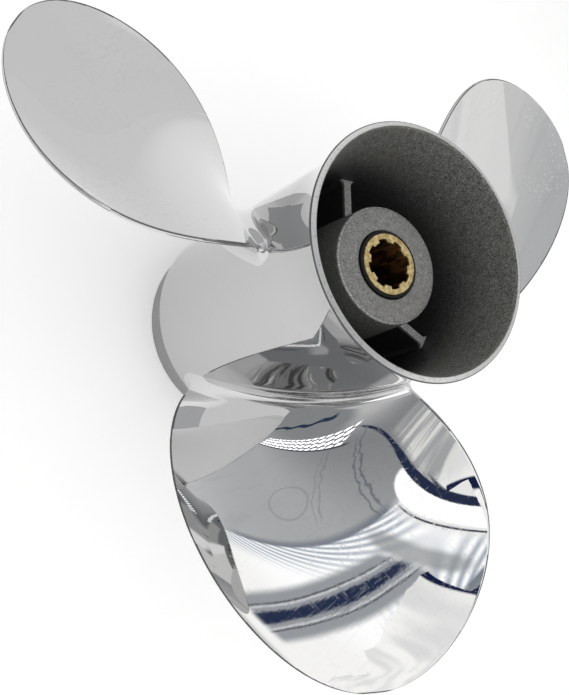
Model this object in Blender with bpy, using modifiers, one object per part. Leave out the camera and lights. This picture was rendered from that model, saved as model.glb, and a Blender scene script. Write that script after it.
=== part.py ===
"""Outboard-motor propeller with the exhaust through its hub.

Three right-handed blades stand on a barrel with a flared aft rim. Three ribs carry an inner hub
inside it, and a rubber bush in that hub holds the splined insert that fits the shaft.

Metres. +Z points aft along the shaft, and the origin is on the shaft axis at the centre of mass.
Depths are measured forward from the aft rim.
"""

import math

import bmesh
import bpy
import numpy as np

# Driving dimensions
TIP_RADIUS = 0.1175
HUB_LENGTH = 0.1043
RIM_Z = 0.0534
GAP = 0.0003
ROUND_STEPS = 84

# Barrel: outer hub with its flared rim
BARREL_RADIUS = 0.0337
BARREL_LENGTH = 0.0933
BARREL_BORE_RADIUS = 0.0316
FLARE_LENGTH = 0.018
RIM_RADIUS = 0.0368
BORE_FLARE_LENGTH = 0.024
RIM_BORE_RADIUS = 0.0350
LIP_SLANT = 0.0005
LIP_ROUND = 0.0004
BARREL_EDGE = 0.0005

# Forward spigot: the turned register ahead of the barrel
SPIGOT_RADIUS = BARREL_BORE_RADIUS - GAP
SPIGOT_BORE_RADIUS = 0.0288
SPIGOT_AFT_DEPTH = 0.0845
SPIGOT_CHAMFER = 0.0006
SPIGOT_BORE_CHAMFER = 0.0018

# Inner hub, with a casting draft from its aft end to the ribs
INNER_HUB_AFT_RADIUS = 0.0174
INNER_HUB_RADIUS = 0.0179
INNER_HUB_AFT_DEPTH = 0.0158
INNER_HUB_FRONT_DEPTH = 0.0945
INNER_HUB_CORNER = 0.0012
BUSH_BORE_RADIUS = 0.0135
LIP_BORE_RADIUS = 0.01015
LIP_DEPTH = 0.0232

# Ribs between inner hub and barrel
RIB_COUNT = 3
RIB_FIRST_ANGLE = math.radians(21.5)
RIB_THICKNESS = 0.0024
RIB_FILLET = 0.0018
RIB_AFT_DEPTH = 0.0335
RIB_FRONT_DEPTH = 0.0815
RIB_EDGE_ROUND = 0.0009

# Splined insert and the rubber bush round it
INSERT_RADIUS = 0.00904
INSERT_AFT_DEPTH = 0.0148
INSERT_FRONT_DEPTH = 0.0975
INSERT_CHAMFER = 0.0003
GROOVE_COUNT = 8
GROOVE_RADIUS = 0.0073
LAND_RADIUS = 0.0064
GROOVE_HALF_ANGLE = math.radians(12)
GROOVE_PHASE = math.radians(23)
BUSH_NOSE_DEPTH = 0.0152
BUSH_NOSE_RADIUS = LIP_BORE_RADIUS - GAP
BUSH_FRONT_DEPTH = 0.0905

# Blades
BLADE_COUNT = 3
BLADE_FIRST_ANGLE = math.radians(210)
PITCH = 0.310
BLADE_DEPTH = 0.0424
RAKE_RADIUS = 0.0735
RAKE_SQUARE = 2.71
RAKE_CUBE = 77.6
CAMBER = 2.80
CAMBER_GROWTH = 64.0
CAMBER_SKEW = 6.1
BLADE_ROOT_THICKNESS = 0.0070
BLADE_TIP_THICKNESS = 0.0022
BLADE_EDGE_RADIUS = 0.0006
ROOT_FILLET = 0.0040
CHORD_STATIONS = ((0.040, 0.0800), (0.055, 0.0925), (0.070, 0.0971), (0.085, 0.0921), (0.100, 0.0741),
                  (0.112, 0.0437))
MID_CHORD_STATIONS = ((0.040, -0.0187), (0.065, -0.0164), (0.090, -0.0135), (0.115, -0.0137))
TIP_THINNING = 0.010
SPAN_STEPS = 18
CHORD_STEPS = 18
TIP_CROWDING = 1.8


def clear_scene():
    for obj in list(bpy.data.objects):
        bpy.data.objects.remove(obj, do_unlink=True)


def steel(name, colour, roughness):
    return make_material(name, colour, roughness, 1.0)


def make_material(name, colour, roughness, metallic):
    material = bpy.data.materials.new(name)
    material.use_nodes = True
    shader = material.node_tree.nodes["Principled BSDF"]
    shader.inputs["Base Color"].default_value = (*colour, 1.0)
    shader.inputs["Roughness"].default_value = roughness
    shader.inputs["Metallic"].default_value = metallic
    material.diffuse_color = (*colour, 1.0)
    return material


def add_object(name, data, material):
    obj = bpy.data.objects.new(name, data)
    data.materials.append(material)
    PROPELLER.objects.link(obj)
    return obj


def apply_modifiers(obj):
    """Puts the evaluated mesh in place of the object's data, shaded smooth between its sharp edges."""
    graph = bpy.context.evaluated_depsgraph_get()
    mesh = bpy.data.meshes.new_from_object(obj.evaluated_get(graph))
    name, matrix, material = obj.name, obj.matrix_world.copy(), obj.data.materials[0]
    bpy.data.objects.remove(obj, do_unlink=True)
    mesh.name = name
    mesh.materials.clear()
    solid = add_object(name, mesh, material)
    solid.matrix_world = matrix
    mesh.shade_smooth()
    mesh.set_sharp_from_angle(angle=math.radians(35))
    return solid


def turned(name, profile, material):
    """A ring turned from a closed profile of (radius, z), which runs down the outer side and up the bore."""
    mesh = bpy.data.meshes.new(name)
    count = len(profile)
    points = [(radius, 0.0, z) for radius, z in profile]
    mesh.from_pydata(points, [(i, (i + 1) % count) for i in range(count)], [])
    obj = add_object(name, mesh, material)
    screw = obj.modifiers.new("Turn", "SCREW")
    screw.axis = "Z"
    screw.angle = math.tau
    screw.steps = ROUND_STEPS
    screw.render_steps = ROUND_STEPS
    screw.use_merge_vertices = True
    screw.merge_threshold = 0.00001
    return apply_modifiers(obj)


def extruded(name, outlines, depths, edge_round, material, angle=0.0):
    """A flat shape with closed outlines in the XY plane, filled and extruded between two depths."""
    aft, front = RIM_Z - depths[0], RIM_Z - depths[1]
    curve = bpy.data.curves.new(name, "CURVE")
    curve.dimensions = "2D"
    curve.fill_mode = "BOTH"
    curve.extrude = (aft - front) / 2
    for outline in outlines:
        spline = curve.splines.new("POLY")
        spline.points.add(len(outline) - 1)
        for point, (x, y) in zip(spline.points, outline):
            point.co = (x, y, 0.0, 1.0)
        spline.use_cyclic_u = True
    obj = add_object(name, curve, material)
    obj.location.z = (aft + front) / 2
    obj.rotation_euler.z = angle
    weld = obj.modifiers.new("Weld", "WELD")
    weld.merge_threshold = 0.00001
    bevel = obj.modifiers.new("Round", "BEVEL")
    bevel.width = edge_round
    bevel.segments = 2
    bevel.limit_method = "ANGLE"
    bevel.angle_limit = math.radians(80)
    bpy.context.view_layer.update()
    return apply_modifiers(obj)


def arc(radius, start, end, steps):
    angles = [start + (end - start) * i / steps for i in range(steps + 1)]
    return [(radius * math.cos(a), radius * math.sin(a)) for a in angles]


def quarter_round(distance, radius):
    """How far a concave fillet of this radius stands out, this far from the corner."""
    from_top = min(max(radius - distance, 0.0), radius)
    return radius - math.sqrt(radius**2 - from_top**2)


def barrel_radius(z):
    """Outer radius of the barrel: straight, then the flare's curve up to the lip's outer edge."""
    into_flare = max(FLARE_LENGTH - (RIM_Z - LIP_SLANT - LIP_ROUND - z), 0.0)
    return BARREL_RADIUS + (RIM_RADIUS - BARREL_RADIUS) * (into_flare / FLARE_LENGTH) ** 2


def barrel_bore_radius(z):
    depth = RIM_Z - z
    into_flare = max(BORE_FLARE_LENGTH - depth, 0.0)
    growth = RIM_BORE_RADIUS - BARREL_BORE_RADIUS
    return BARREL_BORE_RADIUS + growth * (into_flare / BORE_FLARE_LENGTH) ** 2


def make_outer_hub():
    front, lip_outer = RIM_Z - BARREL_LENGTH, RIM_Z - LIP_SLANT - LIP_ROUND
    flare_steps = 7
    outer = [(barrel_radius(z), z) for z in np.linspace(lip_outer, lip_outer - FLARE_LENGTH, flare_steps)]
    outer += [(BARREL_RADIUS, front + BARREL_EDGE), (BARREL_RADIUS - BARREL_EDGE, front)]
    bore = [(BARREL_BORE_RADIUS, front)]
    bore += [(barrel_bore_radius(z), z)
             for z in np.linspace(RIM_Z - BORE_FLARE_LENGTH, RIM_Z - LIP_ROUND, flare_steps)]
    turns = [math.radians(a) for a in (30, 60, 90)]
    lip = [(RIM_BORE_RADIUS + LIP_ROUND * (1 - math.cos(a)), RIM_Z - LIP_ROUND * (1 - math.sin(a)))
           for a in turns]
    lip += [(RIM_RADIUS - LIP_ROUND * (1 - math.cos(a)), lip_outer + LIP_ROUND * math.sin(a))
            for a in reversed(turns)]
    return turned("outer_hub", outer + bore + lip, steel("barrel_steel", (0.78, 0.78, 0.79), 0.1))


def make_forward_spigot():
    aft, front, chamfer = RIM_Z - SPIGOT_AFT_DEPTH, RIM_Z - HUB_LENGTH, SPIGOT_CHAMFER
    profile = [
        (SPIGOT_RADIUS, aft),
        (SPIGOT_RADIUS, front + chamfer),
        (SPIGOT_RADIUS - chamfer, front),
        (SPIGOT_BORE_RADIUS, front),
        (SPIGOT_BORE_RADIUS, aft - SPIGOT_BORE_CHAMFER),
        (SPIGOT_BORE_RADIUS + SPIGOT_BORE_CHAMFER, aft),
    ]
    return turned("forward_spigot", profile, steel("spigot_steel", (0.36, 0.36, 0.37), 0.4))


def make_inner_hub():
    aft, front = RIM_Z - INNER_HUB_AFT_DEPTH, RIM_Z - INNER_HUB_FRONT_DEPTH
    corner = INNER_HUB_CORNER
    rounding = [(INNER_HUB_AFT_RADIUS - corner * (1 - math.sin(a)), aft - corner * (1 - math.cos(a)))
                for a in np.linspace(0, math.pi / 2, 4)]
    profile = rounding + [
        (INNER_HUB_RADIUS, RIM_Z - RIB_AFT_DEPTH),
        (INNER_HUB_RADIUS, front + corner),
        (INNER_HUB_RADIUS - corner, front),
        (BUSH_BORE_RADIUS, front),
        (BUSH_BORE_RADIUS, RIM_Z - LIP_DEPTH),
        (LIP_BORE_RADIUS, RIM_Z - LIP_DEPTH),
        (LIP_BORE_RADIUS, aft),
    ]
    return turned("inner_hub", profile, steel("cast_steel", (0.30, 0.30, 0.30), 0.6))


def rib_outline():
    """Outline across a rib that points along +X: straight sides that spread to each hub in a fillet."""
    low, high = INNER_HUB_RADIUS + GAP, BARREL_BORE_RADIUS - GAP
    steps = [RIB_FILLET * f for f in (0.0, 0.15, 0.4, 1.0)]
    radii = [low + d for d in steps] + [high - d for d in reversed(steps)]
    side = []
    for radius in radii:
        spread = quarter_round(radius - low, RIB_FILLET) + quarter_round(high - radius, RIB_FILLET)
        half = RIB_THICKNESS / 2 + spread
        side.append((math.sqrt(radius**2 - half**2), half))
    low_angle = math.asin(side[0][1] / low)
    high_angle = math.asin(side[-1][1] / high)
    outer_end = arc(high, -high_angle, high_angle, 4)
    inner_end = arc(low, low_angle, -low_angle, 4)
    lower_side = [(x, -y) for x, y in side[1:-1]]
    return lower_side + outer_end + side[-2:0:-1] + inner_end


def make_ribs():
    material = steel("rib_steel", (0.34, 0.34, 0.34), 0.55)
    for i in range(RIB_COUNT):
        angle = RIB_FIRST_ANGLE + math.tau * i / RIB_COUNT
        extruded(f"rib_{i + 1}", [rib_outline()], (RIB_AFT_DEPTH, RIB_FRONT_DEPTH), RIB_EDGE_ROUND,
                 material, angle)


def make_rubber_bush():
    bore = INSERT_RADIUS + GAP
    body = BUSH_BORE_RADIUS - GAP
    nose, shoulder = RIM_Z - BUSH_NOSE_DEPTH, RIM_Z - LIP_DEPTH - GAP
    front = RIM_Z - BUSH_FRONT_DEPTH
    profile = [(BUSH_NOSE_RADIUS, nose), (BUSH_NOSE_RADIUS, shoulder), (body, shoulder), (body, front),
               (bore, front), (bore, nose)]
    return turned("rubber_bush", profile, make_material("bush_rubber", (0.015, 0.015, 0.016), 0.6, 0.0))


def spline_outline():
    """Bore of the insert: square grooves between lands, each on an arc round the axis."""
    outline = []
    for i in range(GROOVE_COUNT):
        middle = GROOVE_PHASE + math.tau * i / GROOVE_COUNT
        next_middle = GROOVE_PHASE + math.tau * (i + 1) / GROOVE_COUNT
        outline += arc(GROOVE_RADIUS, middle - GROOVE_HALF_ANGLE, middle + GROOVE_HALF_ANGLE, 3)
        outline += arc(LAND_RADIUS, middle + GROOVE_HALF_ANGLE, next_middle - GROOVE_HALF_ANGLE, 3)
    return outline


def make_splined_insert():
    rim = arc(INSERT_RADIUS, 0.0, math.tau, 64)[:-1]
    material = make_material("insert_brass", (0.70, 0.55, 0.28), 0.35, 1.0)
    return extruded("splined_insert", [rim, spline_outline()], (INSERT_AFT_DEPTH, INSERT_FRONT_DEPTH),
                    INSERT_CHAMFER, material)


def blade_chord(radius):
    """Chord from the stations, with the square-root fall to nothing that makes a round tip."""
    radii, chords = np.array(CHORD_STATIONS).T
    fullness = chords / np.sqrt(TIP_RADIUS - radii)
    scaled = (radii - RAKE_RADIUS) / TIP_RADIUS
    fit = np.polyfit(scaled, fullness, len(radii) - 1)
    return float(np.polyval(fit, (radius - RAKE_RADIUS) / TIP_RADIUS)) * math.sqrt(TIP_RADIUS - radius)


def blade_mid_chord(radius):
    radii, offsets = np.array(MID_CHORD_STATIONS).T
    fit = np.polyfit((radii - RAKE_RADIUS) / TIP_RADIUS, offsets, len(radii) - 1)
    return float(np.polyval(fit, (radius - RAKE_RADIUS) / TIP_RADIUS))


def blade_thickness(radius):
    share = (radius - BARREL_RADIUS) / (TIP_RADIUS - BARREL_RADIUS)
    return BLADE_ROOT_THICKNESS + (BLADE_TIP_THICKNESS - BLADE_ROOT_THICKNESS) * share


def blade_section(radius):
    """Upper half of the section at this radius, as (s, h) from leading to trailing edge.

    s runs along the chord towards the trailing edge and h stands off it. Near the barrel the
    whole section swells by the root fillet.
    """
    swell = quarter_round(radius - BARREL_RADIUS, ROOT_FILLET)
    to_tip = TIP_RADIUS - radius
    edge = BLADE_EDGE_RADIUS
    if to_tip < edge:
        edge = math.sqrt(edge**2 - (edge - to_tip) ** 2)
    bulge = (blade_thickness(radius) / 2 - BLADE_EDGE_RADIUS) * min(to_tip / TIP_THINNING, 1.0)
    edge += swell
    half_chord = blade_chord(radius) / 2 + swell
    middle = blade_mid_chord(radius)
    points = []
    for turn in np.linspace(0, math.pi, CHORD_STEPS + 1):
        s = -half_chord * math.cos(turn)
        inset = half_chord - abs(s)
        rounding = edge if inset >= edge else math.sqrt(max(edge**2 - (edge - inset) ** 2, 0.0))
        points.append((middle + s, rounding + bulge * (1 - (s / half_chord) ** 2)))
    points[0] = (middle - half_chord, 0.0)
    points[-1] = (middle + half_chord, 0.0)
    return points


def on_blade(radius, s, h):
    """The point of the blade at this radius, s along the pitch helix and h across it."""
    helix = math.atan2(PITCH, math.tau * radius)
    outboard = radius - RAKE_RADIUS
    rake = RAKE_SQUARE * outboard**2 + RAKE_CUBE * outboard**3
    camber = (CAMBER + CAMBER_GROWTH * outboard) * s**2 + CAMBER_SKEW * s**3
    angle = (s * math.cos(helix) - h * math.sin(helix)) / radius
    z = RIM_Z - BLADE_DEPTH + rake + camber + s * math.sin(helix) + h * math.cos(helix)
    return radius * math.cos(angle), radius * math.sin(angle), z


def blade_radii():
    """Stations from inside the barrel to the tip, close together in the fillet and at the tip."""
    fillet = [BARREL_BORE_RADIUS] + [BARREL_RADIUS + ROOT_FILLET * f for f in (0.0, 0.15, 0.4)]
    free = BARREL_RADIUS + ROOT_FILLET
    last = TIP_RADIUS - BLADE_EDGE_RADIUS / 4
    spread = np.linspace(0, 1, SPAN_STEPS - 3)
    return fillet + [last - (last - free) * (1 - t) ** TIP_CROWDING for t in spread]


def blade_mesh():
    """A loft of the sections, which differ at every radius, closed at its root and tip."""
    shape = bmesh.new()
    loops = []
    for radius in blade_radii():
        upper = blade_section(radius)
        lower = [(s, -h) for s, h in reversed(upper[1:-1])]
        loops.append([shape.verts.new(on_blade(radius, s, h)) for s, h in upper + lower])
    count = len(loops[0])
    for inner, outer in zip(loops, loops[1:]):
        for i in range(count):
            j = (i + 1) % count
            shape.faces.new((inner[i], inner[j], outer[j], outer[i]))
    for loop in (loops[0], loops[-1]):
        for i in range(count // 2):
            corners = [loop[i], loop[i + 1], loop[-i - 1], loop[-i]]
            shape.faces.new(list(dict.fromkeys(corners)))
    bmesh.ops.recalc_face_normals(shape, faces=shape.faces)
    mesh = bpy.data.meshes.new("blade")
    shape.to_mesh(mesh)
    shape.free()
    return mesh


def make_root_cutter():
    """The barrel and the gap round it, which each blade's root is cut back to."""
    radius, depth = BARREL_RADIUS + GAP, 2 * HUB_LENGTH
    bpy.ops.mesh.primitive_cylinder_add(vertices=ROUND_STEPS, radius=radius, depth=depth)
    cutter = bpy.context.object
    cutter.name = "root_cutter"
    for collection in list(cutter.users_collection):
        collection.objects.unlink(cutter)
    CUTTERS.objects.link(cutter)
    cutter.hide_render = True
    cutter.display_type = "WIRE"
    return cutter


def make_blades():
    cutter = make_root_cutter()
    material = steel("blade_steel", (0.80, 0.80, 0.81), 0.08)
    first = add_object("blade_1", blade_mesh(), material)
    cut = first.modifiers.new("Root", "BOOLEAN")
    cut.operation = "DIFFERENCE"
    cut.object = cutter
    first.rotation_euler.z = BLADE_FIRST_ANGLE
    bpy.context.view_layer.update()
    first = apply_modifiers(first)
    for i in range(1, BLADE_COUNT):
        blade = bpy.data.objects.new(f"blade_{i + 1}", first.data)
        blade.rotation_euler.z = BLADE_FIRST_ANGLE + math.tau * i / BLADE_COUNT
        PROPELLER.objects.link(blade)


clear_scene()
PROPELLER = bpy.data.collections.new("ship_propeller")
CUTTERS = bpy.data.collections.new("cutters")
bpy.context.scene.collection.children.link(PROPELLER)
bpy.context.scene.collection.children.link(CUTTERS)
make_outer_hub()
make_forward_spigot()
make_blades()
make_inner_hub()
make_ribs()
make_rubber_bush()
make_splined_insert()
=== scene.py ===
"""Looks of the outboard-motor propeller: mirror-polished blades and barrel, rough cast passages, a
turned spigot, a rubber bush and a brass insert.

Metres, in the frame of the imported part: +Z points aft along the shaft, and the origin is on the
shaft axis at the centre of mass. Depths are measured forward from the aft rim.
"""

import math

import bmesh
import bpy
import numpy as np
from mathutils import Euler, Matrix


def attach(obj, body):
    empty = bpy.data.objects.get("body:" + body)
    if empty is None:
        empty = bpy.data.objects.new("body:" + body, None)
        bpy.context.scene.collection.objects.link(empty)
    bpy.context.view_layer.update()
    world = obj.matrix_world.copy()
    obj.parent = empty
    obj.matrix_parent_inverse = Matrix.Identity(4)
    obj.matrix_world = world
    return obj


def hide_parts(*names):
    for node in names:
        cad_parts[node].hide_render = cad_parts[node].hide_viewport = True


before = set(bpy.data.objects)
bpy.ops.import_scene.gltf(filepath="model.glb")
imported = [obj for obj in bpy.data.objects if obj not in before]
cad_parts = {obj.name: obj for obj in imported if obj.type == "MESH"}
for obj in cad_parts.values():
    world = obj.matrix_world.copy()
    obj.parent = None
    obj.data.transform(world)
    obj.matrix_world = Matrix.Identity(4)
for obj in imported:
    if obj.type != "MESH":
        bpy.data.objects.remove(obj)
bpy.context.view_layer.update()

BODY = "root"

# Sizes shared with the part's source
GAP = 0.0003
RIM_Z = 0.0534
HUB_LENGTH = 0.1043
TIP_RADIUS = 0.1175
BARREL_RADIUS = 0.0337
BARREL_LENGTH = 0.0933
BARREL_BORE_RADIUS = 0.0316
FLARE_LENGTH = 0.018
RIM_RADIUS = 0.0368
BORE_FLARE_LENGTH = 0.024
RIM_BORE_RADIUS = 0.0350
LIP_SLANT = 0.0005
LIP_ROUND = 0.0004
BARREL_EDGE = 0.0005

SPIGOT_RADIUS = BARREL_BORE_RADIUS - GAP
SPIGOT_BORE_RADIUS = 0.0288
SPIGOT_AFT_DEPTH = 0.0845
SPIGOT_CHAMFER = 0.0006
SPIGOT_BORE_CHAMFER = 0.0018

INNER_HUB_AFT_RADIUS = 0.0174
INNER_HUB_RADIUS = 0.0179
INNER_HUB_AFT_DEPTH = 0.0158
INNER_HUB_FRONT_DEPTH = 0.0945
INNER_HUB_CORNER = 0.0012
BUSH_BORE_RADIUS = 0.0135
LIP_BORE_RADIUS = 0.01015
LIP_DEPTH = 0.0232

RIB_COUNT = 3
RIB_FIRST_ANGLE = math.radians(21.5)
RIB_THICKNESS = 0.0024
RIB_FILLET = 0.0018
RIB_AFT_DEPTH = 0.0335
RIB_FRONT_DEPTH = 0.0815
RIB_EDGE_ROUND = 0.0009

INSERT_RADIUS = 0.00904
INSERT_AFT_DEPTH = 0.0148
INSERT_FRONT_DEPTH = 0.0975
INSERT_CHAMFER = 0.0003
GROOVE_COUNT = 8
GROOVE_RADIUS = 0.0073
LAND_RADIUS = 0.0064
GROOVE_HALF_ANGLE = math.radians(12)
GROOVE_PHASE = math.radians(23)
BUSH_NOSE_DEPTH = 0.0152
BUSH_NOSE_RADIUS = LIP_BORE_RADIUS - GAP
BUSH_FRONT_DEPTH = 0.0905

BLADE_COUNT = 3
BLADE_FIRST_ANGLE = math.radians(210)
PITCH = 0.310
BLADE_DEPTH = 0.0424
RAKE_RADIUS = 0.0735
RAKE_SQUARE = 2.71
RAKE_CUBE = 77.6
CAMBER = 2.80
CAMBER_GROWTH = 64.0
CAMBER_SKEW = 6.1
BLADE_ROOT_THICKNESS = 0.0070
BLADE_TIP_THICKNESS = 0.0022
BLADE_EDGE_RADIUS = 0.0006
ROOT_FILLET = 0.0040
CHORD_STATIONS = ((0.040, 0.0800), (0.055, 0.0925), (0.070, 0.0971), (0.085, 0.0921), (0.100, 0.0741),
                  (0.112, 0.0437))           # (radius, chord)
MID_CHORD_STATIONS = ((0.040, -0.0187), (0.065, -0.0164), (0.090, -0.0135), (0.115, -0.0137))
TIP_THINNING = 0.0025

# Small clearances and rounds of the visible pieces
OVERLAP = 0.0001            # of the ribs into the two hubs
ROOT_SUNK = 0.00003         # of the blades under the barrel's skin
SKIRT = 0.0006              # further swell of the blades there
SPIGOT_BORE_EDGE = 0.0002
INNER_HUB_LIP_EDGE = 0.00025
BUSH_EDGE = 0.00025
BUSH_CLEARANCE = 0.00005

# Fineness of the visible meshes
TURN_STEPS = 288
BLADE_CHORD_STEPS = 96
BLADE_SPAN_STEPS = 72
FILLET_STEPS = 14
TIP_CROWDING = 1.9

# How far in from the outline the painted dark outline of a blade starts and ends on the aft face
OUTLINE_START = 0.0001
LEADING_OUTLINE = 0.0012
TRAILING_OUTLINE = 0.0006

# Camera of the photograph
CAMERA_PLACE = (-0.04192, -0.19388, 0.25785)
CAMERA_TURN = (13.5239, -32.6802, 50.3178)
CAMERA_LENS_MM = 53.804
SENSOR_MM = 36.0

# Light tent round the part
FLOOR_Z = RIM_Z - HUB_LENGTH
FLOOR_SIZE = 8.0
CEILING_HEIGHT = 0.45
CEILING_SIZE = 2.6
OPEN_SIDE_Y = -1.6
OPEN_SIDE_WIDTH = 4.0
OPEN_SIDE_TOP = 0.9
FAN_STEPS = 12
EDGE_CARD_Z = 0.09
EDGE_CARD_OUTLINE = ((0.0357, 0.020), (0.0357, 0.0078), (0.0447, -0.0273), (0.0541, -0.0504),
                     (0.0617, -0.0613), (0.0657, -0.0638), (0.0671, -0.0636), (0.0692, -0.0571),
                     (0.110, -0.047), (0.110, 0.020))

# Shapes painted on the ceiling. Curves are factors of a polynomial, highest power first
PANEL_EDGE = (0.2614, -0.5165, -0.1751)                          # x from y
BATTEN = (-0.3661, 0.7078, -0.7002, 0.5006, -0.2387, -0.0829)    # x from y
RAIL = (0.7, 0.62, -0.374)                                       # y from x
CREASE = (-0.6, 0.51, -0.292)                                    # y from x
HOOP_CENTRE = (-0.235, -0.20)
CORNER_HALF_LENGTH = 0.060
CORNER_HALF_WIDTH = 0.019

# Light that the parts of the ceiling give, where 1 is white
CLOTH_DARK = (0.31, 0.32, 0.33)
CLOTH_GREY = (0.55, 0.56, 0.57)
CLOTH_PALE = (0.78, 0.78, 0.78)
FOLD_GREY = (0.36, 0.37, 0.39)
SEAM_GREY = (0.16, 0.17, 0.19)
HOOP_GREY = (0.18, 0.19, 0.20)
PATCH_GREY = (0.66, 0.66, 0.66)
FAR_SIDE_WHITE = (0.96, 0.96, 0.95)
LEFT_LIGHT = (1.6, 1.6, 1.58)
RIGHT_LIGHT = (1.3, 1.3, 1.28)
DUSK_BLUE = (0.13, 0.17, 0.25)
PANEL_WHITE = (1.46, 1.46, 1.46)
PANEL_CREAM = (1.33, 1.32, 1.30)
PANEL_RIB = (0.38, 0.45, 0.57)
BATTEN_SHADOW = (0.44, 0.46, 0.49)
BATTEN_PALE_LINE = (0.80, 0.82, 0.84)
BATTEN_DARK_LINE = (0.12, 0.13, 0.15)
BATTEN_NAVY = (0.028, 0.042, 0.100)
RAY_GREY = (0.50, 0.51, 0.52)
RAY_WHITE = (1.02, 1.01, 0.98)
HALO_WHITE = (1.15, 1.15, 1.14)
DIM_SPOT_GREY = (0.40, 0.42, 0.43)
CORNER_RIM = (0.09, 0.10, 0.14)
CORNER_WHITE = (1.55, 1.55, 1.54)
RAIL_NAVY = (0.026, 0.038, 0.085)
CREASE_BLUE = (0.12, 0.14, 0.18)
LAMP_HOUSING = (0.24, 0.25, 0.27)
LAMP_WHITE = (3.0, 3.0, 3.0)
TRIM_GREY = (0.09, 0.10, 0.13)
CORD_BLUE = (0.03, 0.05, 0.10)


class Shade:
    """Adds the nodes of one shader, each by what it works out. Values are numbers or other outputs."""

    def __init__(self, tree):
        self.tree = tree

    def feed(self, socket, value):
        if isinstance(value, bpy.types.NodeSocket):
            self.tree.links.new(value, socket)
        else:
            socket.default_value = value

    def node(self, kind, settings, values):
        node = self.tree.nodes.new(kind)
        for name, value in settings.items():
            setattr(node, name, value)
        for key, value in values.items():
            self.feed(node.inputs[key], value)
        return node

    def math(self, operation, *values):
        return self.node("ShaderNodeMath", {"operation": operation}, dict(enumerate(values))).outputs[0]

    def plus(self, value, other):
        return self.math("ADD", value, other)

    def minus(self, value, other):
        return self.math("SUBTRACT", value, other)

    def product(self, *values):
        result = values[0]
        for value in values[1:]:
            result = self.math("MULTIPLY", result, value)
        return result

    def scaled(self, value, factor, offset):
        """value * factor + offset"""
        return self.math("MULTIPLY_ADD", value, factor, offset)

    def plane(self, x, y, by_x, by_y, offset):
        """by_x * x + by_y * y + offset"""
        return self.scaled(x, by_x, self.scaled(y, by_y, offset))

    def curve(self, value, factors):
        """A polynomial in the value, its factors from the highest power down."""
        result = factors[0]
        for factor in factors[1:]:
            result = self.scaled(value, result, factor)
        return result

    def length(self, across, along):
        return self.math("SQRT", self.plus(self.product(across, across), self.product(along, along)))

    def step(self, value, start, end):
        """A smooth rise from 0 at start to 1 at end."""
        values = {"Value": value, "From Min": start, "From Max": end}
        if start > end:
            values.update({"From Min": end, "From Max": start, "To Min": 1.0, "To Max": 0.0})
        return self.node("ShaderNodeMapRange", {"interpolation_type": "SMOOTHSTEP"}, values).outputs[0]

    def band(self, value, half_width, soft):
        """1 within half_width of 0, falling to 0 over soft."""
        return self.step(self.math("ABSOLUTE", value), half_width + soft, half_width)

    def window(self, value, start, full, full_end, end):
        """0 up to start, 1 from full to full_end, and 0 again from end."""
        return self.product(self.step(value, start, full), self.step(value, end, full_end))

    def disc(self, x, y, centre, half_sizes, soft):
        """1 inside an ellipse, falling to 0 across its soft outline."""
        across = self.product(self.minus(x, centre[0]), 1 / half_sizes[0])
        along = self.product(self.minus(y, centre[1]), 1 / half_sizes[1])
        return self.step(self.length(across, along), 1.0 + soft, 1.0 - soft)

    def mix(self, share, under, over):
        node = self.node("ShaderNodeMix", {"data_type": "RGBA"}, {0: share})
        for key, value in ((6, under), (7, over)):
            self.feed(node.inputs[key], value if isinstance(value, bpy.types.NodeSocket) else (*value, 1.0))
        return node.outputs[2]

    def blend(self, share, under, over):
        return self.node("ShaderNodeMix", {"data_type": "FLOAT"}, {0: share, 2: under, 3: over}).outputs[0]

    def place(self):
        """The shaded point in its object's own axes, in metres."""
        return self.node("ShaderNodeTexCoord", {}, {}).outputs["Object"]

    def place_along(self, axis):
        return self.node("ShaderNodeSeparateXYZ", {}, {0: self.place()}).outputs[axis]

    def way_from_origin(self):
        return self.node("ShaderNodeVectorMath", {"operation": "LENGTH"}, {0: self.place()}).outputs["Value"]

    def stretched(self, scales):
        """The place times the scales, which are in features a metre."""
        return self.node("ShaderNodeMapping", {}, {"Vector": self.place(), "Scale": scales}).outputs[0]

    def noise(self, scales, detail=2.0, roughness=0.5, distortion=0.0):
        values = {"Vector": self.stretched(scales), "Scale": 1.0, "Detail": detail, "Roughness": roughness,
                  "Distortion": distortion}
        return self.node("ShaderNodeTexNoise", {}, values).outputs[0]

    def spots(self, scale, size, stretch=(1.0, 1.0, 1.0)):
        """1 in small spots spread over the surface."""
        values = {"Vector": self.stretched(stretch), "Scale": scale}
        cells = self.node("ShaderNodeTexVoronoi", {}, values).outputs["Distance"]
        return self.step(cells, size, size * 0.5)

    def bump(self, height, depth, strength=1.0):
        values = {"Height": height, "Distance": depth, "Strength": strength}
        return self.node("ShaderNodeBump", {}, values).outputs[0]


def even(value):
    """The same value for all three axes, or for all three colours."""
    return (value, value, value)


def new_material(name, metallic):
    material = bpy.data.materials.new(name)
    material.use_nodes = True
    tree = material.node_tree
    shader = tree.nodes["Principled BSDF"]
    shader.inputs["Metallic"].default_value = metallic
    return material, Shade(tree), shader.inputs


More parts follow.
